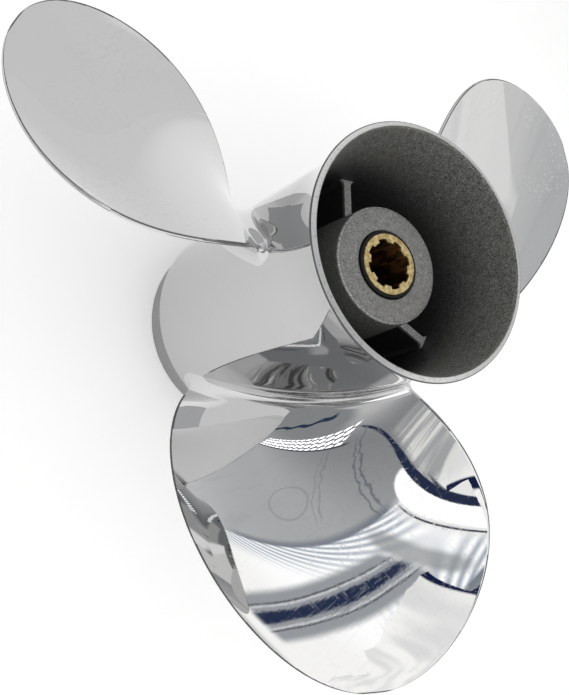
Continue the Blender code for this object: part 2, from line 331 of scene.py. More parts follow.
def polished_steel(name, light, haze):
    """Mirror polish with the slow waves, crossed hairlines and clouded patches that hand polishing leaves.

    light scales the steel's colour, and haze is the roughness of its clearest parts.
    """
    material, shade, socket = new_material(name, 1.0)
    wave_depth, scratch_depth = 0.000009, 0.0000003
    waves = shade.noise(even(48.0), detail=1.0)
    clouds = shade.noise(even(26.0), detail=3.0)
    grain = shade.noise((22.0, 1300.0, 900.0), roughness=0.6)
    cross = shade.noise((1200.0, 26.0, 700.0), roughness=0.6)
    scratches = shade.step(shade.math("MAXIMUM", grain, cross), 0.54, 0.74)
    hairlines = shade.product(scratches, shade.step(clouds, 0.38, 0.62))
    # Pale flecks in patches, near the tip of the blade that points along +Y
    near_tip = shade.step(shade.place_along("Y"), 0.095, 0.106)
    patches = shade.product(shade.step(shade.noise(even(75.0)), 0.44, 0.58), near_tip)
    flecks = shade.product(shade.spots(900.0, 0.34, stretch=(1.0, 0.8, 0.5)), patches)
    cool, warm = [[light * c for c in tint] for tint in ((0.97, 0.975, 0.98), (1.03, 1.03, 1.02))]
    colour = shade.mix(clouds, cool, warm)
    colour = shade.mix(shade.product(hairlines, 0.16), colour, (0.40, 0.41, 0.44))
    shade.feed(socket["Base Color"], shade.mix(shade.product(flecks, 0.6), colour, (0.90, 0.90, 0.89)))
    rough = shade.scaled(hairlines, 0.06, shade.scaled(clouds, 0.006, haze))
    shade.feed(socket["Roughness"], shade.scaled(flecks, 0.25, rough))
    height = shade.scaled(waves, wave_depth, shade.product(shade.plus(grain, cross), scratch_depth))
    shade.feed(socket["Normal"], shade.bump(height, 1.0))
    return material


def painted_dark_outline():
    """A painted dark outline along the edges of a blade and of the rim, satin and darker than the polished
    faces.
    """
    material, shade, socket = new_material("painted_dark_outline", 0.0)
    grain = shade.noise(even(700.0), detail=3.0)
    shade.feed(socket["Base Color"], shade.mix(grain, (0.05, 0.05, 0.055), (0.16, 0.16, 0.165)))
    shade.feed(socket["Roughness"], shade.scaled(grain, 0.2, 0.4))
    socket["Specular IOR Level"].default_value = 0.2
    shade.feed(socket["Normal"], shade.bump(grain, 0.00001))
    return material


def satin_lip():
    """The rim's end face: fine-ground steel, left satin and a little pitted."""
    material, shade, socket = new_material("satin_lip", 1.0)
    grain = shade.noise(even(900.0), detail=4.0, roughness=0.65)
    pits = shade.spots(900.0, 0.28)
    colour = shade.mix(grain, (0.46, 0.46, 0.455), (0.66, 0.66, 0.65))
    shade.feed(socket["Base Color"], shade.mix(shade.product(pits, 0.5), colour, (0.2, 0.2, 0.19)))
    shade.feed(socket["Roughness"], shade.scaled(grain, 0.2, 0.24))
    shade.feed(socket["Normal"], shade.bump(grain, 0.00002))
    return material


def cast_steel(name, dark, light, warm, stained, depth, shade_start, shade_end, shaded_share):
    """Blasted casting skin: speckled grey with pits, sparks and a brownish stain in patches, and painted
    shade further in.

    depth is the grain's; the painted shade grows between two depths under the rim, and shaded_share is its
    full share.
    """
    material, shade, socket = new_material(name, 0.3)
    grit = shade.noise(even(2300.0), detail=3.0, roughness=0.7)
    skin = shade.noise(even(650.0), detail=4.0, roughness=0.65)
    stain = shade.noise(even(70.0), detail=4.0, roughness=0.6)
    sparks = shade.product(shade.spots(800.0, 0.20), shade.step(grit, 0.4, 0.6))
    speckle = shade.step(shade.scaled(skin, 0.22, shade.product(grit, 0.78)), 0.40, 0.60)
    colour = shade.mix(speckle, dark, light)
    colour = shade.mix(shade.product(shade.step(stain, 0.44, 0.66), stained), colour, warm)
    colour = shade.mix(sparks, colour, [min(c * 1.9, 0.9) for c in light])
    # Painted shade: darker further in under the rim, down the passages and the ribs
    deep_shade = shade.step(shade.place_along("Z"), RIM_Z - shade_start, RIM_Z - shade_end)
    shade.feed(socket["Base Color"], shade.mix(shade.product(deep_shade, shaded_share), colour, (0.015, 0.020, 0.017)))
    shade.feed(socket["Roughness"], shade.scaled(skin, -0.2, 0.68))
    height = shade.scaled(skin, 0.5, shade.product(grit, 0.5))
    shade.feed(socket["Normal"], shade.bump(height, depth, 0.8))
    return material


def painted_corner_highlight():
    """Casting corner painted bright: a painted highlight."""
    material, shade, socket = new_material("painted_corner_highlight", 0.6)
    grit = shade.noise(even(1500.0), detail=3.0, roughness=0.7)
    colour = shade.mix(shade.step(grit, 0.40, 0.60), (0.42, 0.42, 0.41), (0.86, 0.86, 0.85))
    shade.feed(socket["Base Color"], colour)
    shade.feed(socket["Roughness"], shade.scaled(grit, 0.2, 0.36))
    shade.feed(socket["Normal"], shade.bump(grit, 0.00003))
    return material


def turned_steel():
    """Satin turned register, with fine tool rings round the axis."""
    material, shade, socket = new_material("turned_steel", 1.0)
    rings = shade.noise((6.0, 6.0, 5200.0), roughness=0.6)
    haze = shade.noise(even(120.0), detail=3.0)
    grit = shade.noise(even(1400.0))
    colour = shade.mix(rings, (0.22, 0.22, 0.225), (0.34, 0.34, 0.34))
    shade.feed(socket["Base Color"], shade.mix(shade.product(haze, grit), colour, (0.5, 0.5, 0.49)))
    shade.feed(socket["Roughness"], shade.scaled(haze, 0.16, 0.34))
    shade.feed(socket["Normal"], shade.bump(rings, 0.00003))
    return material


def bush_rubber():
    """Moulded black rubber with a dull skin."""
    material, shade, socket = new_material("bush_rubber", 0.0)
    skin = shade.noise(even(800.0), detail=3.0)
    dust = shade.noise(even(170.0))
    shade.feed(socket["Base Color"], shade.mix(dust, (0.006, 0.006, 0.007), (0.018, 0.017, 0.016)))
    shade.feed(socket["Roughness"], shade.scaled(skin, 0.25, 0.55))
    socket["Specular IOR Level"].default_value = 0.25
    shade.feed(socket["Normal"], shade.bump(skin, 0.00003))
    return material


def brass():
    """Sawn and faced brass, mottled on its end face and tarnished to brown down the splines."""
    material, shade, socket = new_material("insert_brass", 1.0)
    mottle = shade.noise(even(620.0), detail=4.0, roughness=0.65)
    patches = shade.noise((230.0, 230.0, 120.0), detail=3.0, roughness=0.6)
    end_face = RIM_Z - INSERT_AFT_DEPTH
    inside = shade.step(shade.place_along("Z"), end_face - INSERT_CHAMFER, end_face - 4 * INSERT_CHAMFER)
    face = shade.mix(shade.step(mottle, 0.35, 0.65), (0.40, 0.28, 0.11), (0.78, 0.64, 0.34))
    tarnish = shade.mix(shade.step(patches, 0.46, 0.62), (0.08, 0.045, 0.022), (0.46, 0.23, 0.09))
    shade.feed(socket["Base Color"], shade.mix(inside, face, tarnish))
    shade.feed(socket["Roughness"], shade.blend(inside, shade.scaled(mottle, 0.25, 0.28), 0.5))
    shade.feed(socket["Normal"], shade.bump(mottle, 0.00003))
    return material


def add_piece(name, mesh, replaced):
    piece = bpy.data.objects.new(name, mesh)
    bpy.context.scene.collection.objects.link(piece)
    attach(piece, BODY)
    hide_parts(*replaced)
    return piece


LIP_OUTER_Z = RIM_Z - LIP_SLANT - LIP_ROUND


def barrel_radius(z):
    into_flare = max(FLARE_LENGTH - (LIP_OUTER_Z - z), 0.0)
    return BARREL_RADIUS + (RIM_RADIUS - BARREL_RADIUS) * (into_flare / FLARE_LENGTH) ** 2


def barrel_bore_radius(z):
    into_flare = max(BORE_FLARE_LENGTH - (RIM_Z - z), 0.0)
    growth = RIM_BORE_RADIUS - BARREL_BORE_RADIUS
    return BARREL_BORE_RADIUS + growth * (into_flare / BORE_FLARE_LENGTH) ** 2


def revolve(name, profile, zones, materials, replaced):
    """A ring turned from a closed profile of (radius, z); zones gives each stretch's material number."""
    angles = np.linspace(0, math.tau, TURN_STEPS, endpoint=False)
    radii, heights = np.array(profile).T
    x = np.outer(np.cos(angles), radii)
    y = np.outer(np.sin(angles), radii)
    z = np.outer(np.ones(TURN_STEPS), heights)
    points = np.stack([x, y, z], axis=-1).reshape(-1, 3)
    count = len(profile)
    faces = []
    for i in range(TURN_STEPS):
        here, there = i * count, (i + 1) % TURN_STEPS * count
        for j in range(count):
            k = (j + 1) % count
            faces.append((here + j, there + j, there + k, here + k))
    mesh = bpy.data.meshes.new(name)
    mesh.from_pydata(points.tolist(), [], faces)
    for material in materials:
        mesh.materials.append(material)
    mesh.polygons.foreach_set("material_index", np.tile(np.array(zones, np.int32), TURN_STEPS))
    return add_piece(name, mesh, replaced)


def fix_normals(mesh):
    shape = bmesh.new()
    shape.from_mesh(mesh)
    bmesh.ops.recalc_face_normals(shape, faces=shape.faces)
    shape.to_mesh(mesh)
    shape.free()


def smooth(piece, degrees):
    fix_normals(piece.data)
    piece.data.shade_smooth()
    piece.data.set_sharp_from_angle(angle=math.radians(degrees))


def corner_round(radius, z, size, start, end, steps=6):
    """A rounded corner about (radius, z), from one direction in the (radius, z) plane to another."""
    return [(radius + size * math.cos(a), z + size * math.sin(a))
            for a in np.radians(np.linspace(start, end, steps + 1))]


def make_barrel(polished, cast, lip_steel, outline_strip):
    """The outer hub. The lip's inner round is still cast skin, and its outer round carries the painted dark
    outline.
    """
    front = RIM_Z - BARREL_LENGTH
    straight = LIP_OUTER_Z - FLARE_LENGTH
    outer = [(barrel_radius(z), z) for z in np.linspace(LIP_OUTER_Z, straight, 28)]
    outer += [(BARREL_RADIUS, z) for z in np.linspace(straight, front + BARREL_EDGE, 30)[1:]]
    outer += [(BARREL_RADIUS - BARREL_EDGE * (1 - math.cos(a)), front + BARREL_EDGE * (1 - math.sin(a)))
              for a in np.linspace(0, math.pi / 2, 5)[1:]]
    bore = [(BARREL_BORE_RADIUS, front)]
    bore += [(barrel_bore_radius(z), z)
             for z in np.linspace(RIM_Z - BORE_FLARE_LENGTH, RIM_Z - LIP_ROUND, 30)]
    turns = np.linspace(0, math.pi / 2, 7)[1:]
    lip = [(RIM_BORE_RADIUS + LIP_ROUND * (1 - math.cos(a)), RIM_Z - LIP_ROUND * (1 - math.sin(a)))
           for a in turns]
    lip += [(RIM_RADIUS - LIP_ROUND * (1 - math.cos(a)), LIP_OUTER_Z + LIP_ROUND * math.sin(a))
            for a in turns[::-1]]
    profile = outer + bore + lip
    cast_round, outline_round = 4, 5
    zones = [0] * (len(outer) - 1) + [1] * (len(bore) + cast_round)
    zones += [2] * (len(profile) - len(zones) - outline_round) + [3] * outline_round
    materials = [polished, cast, lip_steel, outline_strip]
    barrel = revolve("barrel", profile, zones, materials, ["outer_hub"])
    smooth(barrel, 40)


def make_spigot(turned):
    aft, front = RIM_Z - SPIGOT_AFT_DEPTH, RIM_Z - HUB_LENGTH
    edge = SPIGOT_CHAMFER
    profile = [(SPIGOT_RADIUS, z) for z in np.linspace(aft, front + edge, 12)]
    profile += corner_round(SPIGOT_RADIUS - edge, front + edge, edge, 0, -90)[1:]
    profile += [(SPIGOT_BORE_RADIUS + SPIGOT_BORE_EDGE, front)]
    profile += [(SPIGOT_BORE_RADIUS, front + SPIGOT_BORE_EDGE)]
    profile += [(SPIGOT_BORE_RADIUS, aft - SPIGOT_BORE_CHAMFER)]
    profile += [(SPIGOT_BORE_RADIUS + SPIGOT_BORE_CHAMFER, aft)]
    spigot = revolve("spigot", profile, [0] * len(profile), [turned], ["forward_spigot"])
    smooth(spigot, 30)


def make_inner_hub(cast, highlight_material):
    """The inner hub, with a painted highlight round the middle of its aft corner."""
    aft, front, corner = RIM_Z - INNER_HUB_AFT_DEPTH, RIM_Z - INNER_HUB_FRONT_DEPTH, INNER_HUB_CORNER
    lip, edge = RIM_Z - LIP_DEPTH, INNER_HUB_LIP_EDGE
    profile = corner_round(INNER_HUB_AFT_RADIUS - corner, aft - corner, corner, 90, 0)
    profile += [(INNER_HUB_RADIUS, RIM_Z - RIB_AFT_DEPTH)]
    profile += corner_round(INNER_HUB_RADIUS - corner, front + corner, corner, 0, -90)
    profile += [(BUSH_BORE_RADIUS, front), (BUSH_BORE_RADIUS, lip), (LIP_BORE_RADIUS, lip)]
    profile += corner_round(LIP_BORE_RADIUS + edge, aft - edge, edge, 180, 90, 3)
    zones = [0, 0, 1, 1]        # the first stretches go round the aft corner
    zones += [0] * (len(profile) - len(zones))
    hub = revolve("inner_hub_casting", profile, zones, [cast, highlight_material], ["inner_hub"])
    smooth(hub, 35)


def edge_rise(distance, radius):
    """How high a rounded edge has risen at a distance in from its outline."""
    from_centre = np.clip(radius - distance, 0.0, radius)
    return np.sqrt(radius**2 - from_centre**2)


def arc(radius, start, end, steps):
    return [(radius * math.cos(a), radius * math.sin(a)) for a in np.linspace(start, end, steps + 1)]


def prism(name, outlines, top, bottom, edge, segments, material, replaced):
    """Closed outlines in the XY plane, the first round the outside, filled and carried from top to bottom."""
    shape = bmesh.new()
    rings = []
    for outline in outlines:
        upper = [shape.verts.new((x, y, top)) for x, y in outline]
        lower = [shape.verts.new((x, y, bottom)) for x, y in outline]
        rings.append((upper, lower))
        for i in range(len(outline)):
            j = (i + 1) % len(outline)
            shape.faces.new((upper[i], upper[j], lower[j], lower[i]))
    for level in (0, 1):
        loops = [ring[level] for ring in rings]
        edges = [shape.edges.get((loop[i], loop[(i + 1) % len(loop)]))
                 for loop in loops for i in range(len(loop))]
        bmesh.ops.triangle_fill(shape, use_beauty=True, use_dissolve=True, edges=edges)
    bmesh.ops.recalc_face_normals(shape, faces=shape.faces)
    mesh = bpy.data.meshes.new(name)
    shape.to_mesh(mesh)
    shape.free()
    mesh.materials.append(material)
    piece = add_piece(name, mesh, replaced)
    round_off = piece.modifiers.new("Round", "BEVEL")
    round_off.width = edge
    round_off.segments = segments
    round_off.limit_method = "ANGLE"
    round_off.angle_limit = math.radians(80)
    mesh.shade_smooth()
    mesh.set_sharp_from_angle(angle=math.radians(50))
    return piece


def make_ribs(cast):
    """Plates from hub to hub, with a fillet at either end."""
    low, high = INNER_HUB_RADIUS - OVERLAP, BARREL_BORE_RADIUS + OVERLAP
    steps = RIB_FILLET * (1 - np.cos(np.linspace(0, math.pi / 2, 8)))
    radii = np.concatenate([low + steps, (high - steps)[::-1]])
    half = np.full_like(radii, RIB_THICKNESS / 2)
    for distance in (radii - low, high - radii):
        half += RIB_FILLET - edge_rise(distance, RIB_FILLET)
    side = list(zip(np.sqrt(radii**2 - half**2), half))
    low_angle, high_angle = math.asin(half[0] / low), math.asin(half[-1] / high)
    outline = [(x, -y) for x, y in side[1:-1]] + arc(high, -high_angle, high_angle, 6)
    outline += side[-2:0:-1] + arc(low, low_angle, -low_angle, 6)
    for i in range(RIB_COUNT):
        turn = RIB_FIRST_ANGLE + math.tau * i / RIB_COUNT
        c, s = math.cos(turn), math.sin(turn)
        placed = [(x * c - y * s, x * s + y * c) for x, y in outline]
        prism(f"cast_rib_{i + 1}", [placed], RIM_Z - RIB_AFT_DEPTH, RIM_Z - RIB_FRONT_DEPTH,
              RIB_EDGE_ROUND, 5, cast, [f"rib_{i + 1}"])


def make_bush(rubber):
    bore, body = INSERT_RADIUS + BUSH_CLEARANCE, BUSH_BORE_RADIUS - GAP
    nose, shoulder = RIM_Z - BUSH_NOSE_DEPTH, RIM_Z - LIP_DEPTH - GAP
    front, edge = RIM_Z - BUSH_FRONT_DEPTH, BUSH_EDGE
    profile = corner_round(BUSH_NOSE_RADIUS - edge, nose - edge, edge, 90, 0, 4)
    profile += [(BUSH_NOSE_RADIUS, shoulder), (body, shoulder), (body, front + edge), (body - edge, front)]
    profile += [(bore, front), (bore, nose)]
    bush = revolve("moulded_bush", profile, [0] * len(profile), [rubber], ["rubber_bush"])
    smooth(bush, 35)


def make_insert(metal):
    bore = []
    for i in range(GROOVE_COUNT):
        middle = GROOVE_PHASE + math.tau * i / GROOVE_COUNT
        after = GROOVE_PHASE + math.tau * (i + 1) / GROOVE_COUNT
        bore += arc(GROOVE_RADIUS, middle - GROOVE_HALF_ANGLE, middle + GROOVE_HALF_ANGLE, 6)
        bore += arc(LAND_RADIUS, middle + GROOVE_HALF_ANGLE, after - GROOVE_HALF_ANGLE, 6)
    rim = arc(INSERT_RADIUS, 0.0, math.tau, 144)[:-1]
    prism("brass_insert", [rim, bore], RIM_Z - INSERT_AFT_DEPTH, RIM_Z - INSERT_FRONT_DEPTH,
          INSERT_CHAMFER, 3, metal, ["splined_insert"])


def through(stations, radius):
    """The smooth curve through the stations, which are (radius, value), at an array of radii."""
    radii, values = np.array(stations).T
    fit = np.polyfit((radii - RAKE_RADIUS) / TIP_RADIUS, values, len(radii) - 1)
    return np.polyval(fit, (radius - RAKE_RADIUS) / TIP_RADIUS)


def blade_chord(radius):
    fullness = [(r, chord / math.sqrt(TIP_RADIUS - r)) for r, chord in CHORD_STATIONS]
    return through(fullness, radius) * np.sqrt(TIP_RADIUS - radius)


def blade_stations():
    """(radius, swell) from just under the barrel's skin, out along the fillet, to the tip."""
    skirt = [(BARREL_RADIUS - ROOT_SUNK, ROOT_FILLET + SKIRT)]
    fillet = [(BARREL_RADIUS + ROOT_FILLET * (1 - math.cos(a)), ROOT_FILLET * (1 - math.sin(a)))
              for a in np.linspace(0, math.pi / 2, FILLET_STEPS + 1)]
    last, free = TIP_RADIUS - 0.000002, BARREL_RADIUS + ROOT_FILLET
    share = np.linspace(0, 1, BLADE_SPAN_STEPS + 1)[1:]
    span = [(last - (last - free) * (1 - t) ** TIP_CROWDING, 0.0) for t in share]
    return np.array(skirt + fillet + span)


def there_and_back(row, sign=1):
    """The values along a blade's aft face, then back along its forward face."""
    return np.concatenate([row, sign * row[:, -2:0:-1]], axis=1)


def blade_sections(radius, swell):
    """Round the blade at each radius: the place s along the chord, the height h over the middle face, the
    way in from the outline, and whether that is the leading half."""
    turn = np.linspace(0, math.pi, BLADE_CHORD_STEPS + 1)[None, :]
    to_tip = TIP_RADIUS - radius
    share = (radius - BARREL_RADIUS) / (TIP_RADIUS - BARREL_RADIUS)
    thickness = BLADE_ROOT_THICKNESS + (BLADE_TIP_THICKNESS - BLADE_ROOT_THICKNESS) * share
    from_tip = np.minimum(to_tip / (2 * TIP_THINNING), 1.0)
    bulge = (thickness / 2 - BLADE_EDGE_RADIUS) * from_tip * (2 - from_tip)
    edge = edge_rise(to_tip, BLADE_EDGE_RADIUS) + swell
    half_chord = blade_chord(radius) / 2 + swell
    s = -half_chord * np.cos(turn)
    inset = half_chord - np.abs(s)
    h = edge_rise(inset, edge) + bulge * (1 - (s / half_chord) ** 2)
    h[:, [0, -1]] = 0.0
    s = s + through(MID_CHORD_STATIONS, radius)
    leading = np.broadcast_to(np.cos(turn) > 0, s.shape)
    return there_and_back(s), there_and_back(h, -1), there_and_back(inset), there_and_back(leading)


def blade_points(radius, s, h):
    """The sections bent round the shaft along the helix, with rake and camber."""
    helix = np.arctan2(PITCH, math.tau * radius)
    outboard = radius - RAKE_RADIUS
    rake = RAKE_SQUARE * outboard**2 + RAKE_CUBE * outboard**3
    camber = (CAMBER + CAMBER_GROWTH * outboard) * s**2 + CAMBER_SKEW * s**3
    angle = (s * np.cos(helix) - h * np.sin(helix)) / radius
    z = RIM_Z - BLADE_DEPTH + rake + camber + s * np.sin(helix) + h * np.cos(helix)
    return np.stack([radius * np.cos(angle), radius * np.sin(angle), z], axis=-1).reshape(-1, 3)


def painted_outline_mask(radius, h, inset, leading):
    """Where the dark outline is painted: a strip on the aft face and the very edge, outside the fillet at the
    root.
    """
    to_tip = TIP_RADIUS - radius
    near_edge = np.minimum(inset, to_tip)
    reach = np.where(leading, LEADING_OUTLINE, TRAILING_OUTLINE)
    on_aft_face = (near_edge > OUTLINE_START) & ((inset < reach) | (to_tip < TRAILING_OUTLINE))
    outline_strip = np.where(h >= 0, on_aft_face, near_edge < OUTLINE_START)
    return outline_strip & (radius > BARREL_RADIUS + ROOT_FILLET)


def blade_mesh():
    radius, swell = blade_stations().T
    radius, swell = radius[:, None], swell[:, None]
    s, h, inset, leading = blade_sections(radius, swell)
    outline_strip = painted_outline_mask(radius, h, inset, leading)
    rows, count = s.shape
    faces, zones = [], []
    for i in range(rows - 1):
        for j in range(count):
            k = (j + 1) % count
            faces.append((i * count + j, i * count + k, (i + 1) * count + k, (i + 1) * count + j))
            zones.append(int(outline_strip[i, j] and outline_strip[i + 1, k]))
    faces.append(tuple(range((rows - 1) * count, rows * count)))
    faces.append(tuple(reversed(range(count))))
    mesh = bpy.data.meshes.new("blade")
    mesh.from_pydata(blade_points(radius, s, h).tolist(), [], faces)
    mesh.polygons.foreach_set("material_index", np.array(zones + [1, 0], np.int32))
    return mesh


def make_blades(polished, outline_strip):
    for i in range(BLADE_COUNT):
        mesh = blade_mesh()
        angle = BLADE_FIRST_ANGLE + math.tau * i / BLADE_COUNT
        mesh.transform(Euler((0.0, 0.0, angle)).to_matrix().to_4x4())
        mesh.materials.append(polished)
        mesh.materials.append(outline_strip)
        blade = add_piece(f"polished_blade_{i + 1}", mesh, [f"blade_{i + 1}"])
        smooth(blade, 60)


def make_camera():
    data = bpy.data.cameras.new("camera")
    data.lens = CAMERA_LENS_MM
    data.sensor_width = SENSOR_MM
    data.clip_start = 0.01
    data.clip_end = 50.0
    camera = bpy.data.objects.new("camera", data)
    camera.location = CAMERA_PLACE
    camera.rotation_euler = [math.radians(a) for a in CAMERA_TURN]
    bpy.context.scene.collection.objects.link(camera)
    bpy.context.scene.camera = camera


def add_stage(name, points, faces, material, height=0.0):
    mesh = bpy.data.meshes.new(name)
    mesh.from_pydata(points, [], faces)
    mesh.materials.append(material)
    backdrop = bpy.data.objects.new(name, mesh)
    backdrop.location.z = height
    bpy.context.scene.collection.objects.link(backdrop)
    return backdrop


def show_in_metal_only(backdrop):
    """The floor stays evenly lit, and the camera looks past the backdrop."""
    backdrop.visible_camera = False
    backdrop.visible_diffuse = False
    backdrop.visible_shadow = False


def square(size):
    half = size / 2
    return [(-half, -half, 0.0), (half, -half, 0.0), (half, half, 0.0), (-half, half, 0.0)], [(0, 1, 2, 3)]


def fan(rings, start, end, first=0):
    """Points on rings of (radius, z) round the axis, and the faces between them, counted from first."""
    turns = np.radians(np.linspace(start, end, FAN_STEPS + 1))
    points = [(radius * math.cos(a), radius * math.sin(a), z) for radius, z in rings for a in turns]
    row = FAN_STEPS + 1
    corners = [first + i * row + j for i in range(len(rings) - 1) for j in range(FAN_STEPS)]
    return points, [(c, c + 1, c + row + 1, c + row) for c in corners]


def new_glow(name):
    """A material that only gives off light, with the socket of its colour."""
    material = bpy.data.materials.new(name)
    material.use_nodes = True
    material.node_tree.nodes.clear()
    shade = Shade(material.node_tree)
    glow = shade.node("ShaderNodeEmission", {}, {"Strength": 1.0})
    shade.node("ShaderNodeOutputMaterial", {}, {"Surface": glow.outputs[0]})
    return material, shade, glow.inputs["Color"]


def make_floor():
    """White paper with a glow of its own that keeps it white: painted light, stronger near the part's shadow,
    and painted shade, a little darker far off.
    """
    material, shade, socket = new_material("floor_paint", 0.0)
    radius = shade.way_from_origin()
    away = shade.product(shade.step(radius, 0.15, 1.1), shade.step(shade.place_along("X"), 0.6, 0.3))
    shade.feed(socket["Base Color"], shade.mix(away, (0.96, 0.96, 0.955), even(0.84)))
    # Painted light: the glow is stronger near the part, lifting its shadow
    glow = shade.mix(shade.step(radius, 0.11, 0.30), even(0.30), even(0.18))
    shade.feed(socket["Emission Color"], shade.mix(away, glow, even(0.09)))
    socket["Emission Strength"].default_value = 1.0
    socket["Roughness"].default_value = 0.8
    socket["Specular IOR Level"].default_value = 0.1
    add_stage("floor", *square(FLOOR_SIZE), material, FLOOR_Z)


def seam_pair(shade, across, apart):
    """A fine seam where across is 0, and a wider one beside it."""
    return shade.math("MAXIMUM", shade.band(across, 0.0012, 0.002),
                      shade.band(shade.plus(across, apart), 0.0016, 0.003))


def ceiling_cloth(shade, x, y, wobble):
    """Grey cloth, lighter towards +Y, with folds, a pair of seams and a hoop over the part."""
    cloth = shade.mix(shade.step(y, -0.46, -0.20), CLOTH_DARK, CLOTH_GREY)
    cloth = shade.mix(shade.step(y, -0.20, 0.60), cloth, CLOTH_PALE)
    folds = shade.step(shade.noise((9.0, 3.0, 1.0), detail=3.0), 0.50, 0.70)
    cloth = shade.mix(shade.product(folds, shade.step(y, 0.8, 0.4), 0.22), cloth, FOLD_GREY)
    seams = seam_pair(shade, shade.plus(shade.plane(x, y, -0.665, 0.747, 0.077), wobble), 0.019)
    seams = shade.product(seams, shade.window(x, -0.36, -0.30, -0.13, -0.10), 0.30)
    cloth = shade.mix(seams, cloth, SEAM_GREY)
    hoop = shade.minus(shade.disc(x, y, HOOP_CENTRE, (0.072, 0.072), 0.06),
                       shade.disc(x, y, HOOP_CENTRE, (0.066, 0.066), 0.06))
    cloth = shade.mix(shade.product(hoop, 0.35), cloth, HOOP_GREY)
    pale_patch = shade.product(shade.window(y, -0.86, -0.76, -0.56, -0.46), shade.step(x, -0.46, -0.34))
    return shade.mix(pale_patch, cloth, PATCH_GREY)


def add_ceiling_lights(shade, x, y, colour):
    """The bright far side, with a dimmer part, and two soft lights towards -Y."""
    far_side = shade.step(shade.plane(x, y, -0.768, 0.640, 0.096), -0.004, 0.004)
    far_side = shade.product(far_side, shade.step(x, 0.34, 0.37))
    dimmer = shade.product(far_side, shade.step(y, 0.75, 0.9), shade.step(x, 0.68, 0.5))
    colour = shade.mix(shade.minus(far_side, dimmer), colour, FAR_SIDE_WHITE)
    left_light = shade.product(shade.step(x, 0.12, 0.22), shade.window(y, -1.12, -1.02, -0.50, -0.42))
    colour = shade.mix(left_light, colour, LEFT_LIGHT)
    right_light = shade.product(shade.step(x, 0.40, 0.50), shade.window(y, -1.12, -1.02, -0.05, 0.05))
    return shade.mix(right_light, colour, RIGHT_LIGHT)


def add_panel(shade, x, y, colour):
    """The bright panel, ribbed near its left edge, up to the first batten. Both are shallow curves."""
    edge = shade.minus(x, shade.curve(y, PANEL_EDGE))
    batten = shade.minus(x, shade.curve(y, BATTEN))
    dusk = shade.product(shade.window(edge, -0.026, -0.004, 0.004, 0.012),
                         shade.window(y, -0.36, -0.30, 0.05, 0.16), 0.62)
    colour = shade.mix(dusk, colour, DUSK_BLUE)
    ribs = shade.scaled(shade.math("SINE", shade.plane(edge, y, 450.0, 130.0, 0.0)), 0.5, 0.5)
    ribs = shade.product(ribs, shade.step(edge, 0.075, 0.020), shade.step(y, 0.40, 0.15), 0.85)
    lit = shade.mix(shade.step(y, 0.0, 0.25), PANEL_WHITE, PANEL_CREAM)
    panel = shade.product(shade.step(edge, -0.003, 0.004), shade.step(batten, 0.06, 0.05),
                          shade.window(y, -0.35, -0.31, 0.70, 0.86))
    colour = shade.mix(panel, colour, shade.mix(ribs, lit, PANEL_RIB))

    # The batten's shadow, two fine lines beside it, and the navy batten itself
    span = shade.window(y, -0.235, -0.205, 0.48, 0.62)
    shadow = shade.product(shade.window(batten, -0.0160, -0.0075, 0.032, 0.040), span)
    colour = shade.mix(shadow, colour, BATTEN_SHADOW)
    for beside, strength, line_colour in ((0.0023, 0.9, BATTEN_PALE_LINE), (0.0034, 0.8, BATTEN_DARK_LINE)):
        line = shade.band(shade.plus(batten, beside), 0.0003, 0.0003)
        colour = shade.mix(shade.product(line, span, strength), colour, line_colour)
    navy = shade.product(shade.window(batten, -0.0010, -0.0004, 0.024, 0.030), span)
    return shade.mix(navy, colour, BATTEN_NAVY)


def add_rail(shade, x, y, wobble, colour):
    """The second batten, bent and tapered, with rays, the bright corner and creases beside it."""
    rail = shade.minus(y, shade.curve(x, RAIL))
    rays = shade.step(shade.noise((46.0, 9.0, 1.0)), 0.42, 0.60)
    beside = shade.product(shade.step(rail, -0.003, -0.012), shade.window(x, -0.15, -0.06, 0.12, 0.2),
                           shade.step(y, -0.60, -0.52))
    colour = shade.mix(beside, colour, shade.mix(rays, RAY_GREY, RAY_WHITE))
    colour = shade.mix(shade.disc(x, y, (0.075, -0.315), (0.060, 0.030), 0.35), colour, HALO_WHITE)
    dim_spot = shade.disc(x, y, (0.008, -0.243), (0.024, 0.020), 0.45)
    colour = shade.mix(shade.product(dim_spot, 0.8), colour, DIM_SPOT_GREY)

    # The corner is a slanting ellipse with a dark rim on its right half
    along = shade.plane(x, y, 0.763 / CORNER_HALF_LENGTH, 0.645 / CORNER_HALF_LENGTH, 3.139)
    across = shade.plane(x, y, -0.645 / CORNER_HALF_WIDTH, 0.763 / CORNER_HALF_WIDTH, 14.56)
    corner = shade.length(along, across)
    rim = shade.product(shade.band(shade.minus(corner, 1.28), 0.05, 0.06), shade.step(along, -0.2, 0.3))
    colour = shade.mix(rim, colour, CORNER_RIM)
    colour = shade.mix(shade.step(corner, 1.1, 0.9), colour, CORNER_WHITE)

    half_width = shade.scaled(shade.step(x, -0.12, 0.06), 0.0042, 0.0020)
    rail_shape = shade.step(shade.minus(shade.math("ABSOLUTE", rail), half_width), 0.0012, -0.0006)
    rail_shape = shade.product(rail_shape, shade.window(x, -0.34, -0.26, 0.088, 0.094))
    colour = shade.mix(rail_shape, colour, RAIL_NAVY)
    creases = seam_pair(shade, shade.plus(shade.minus(y, shade.curve(x, CREASE)), wobble), 0.016)
    creases = shade.product(creases, shade.window(x, -0.28, -0.22, -0.02, 0.0), 0.65)
    return shade.mix(creases, colour, CREASE_BLUE)


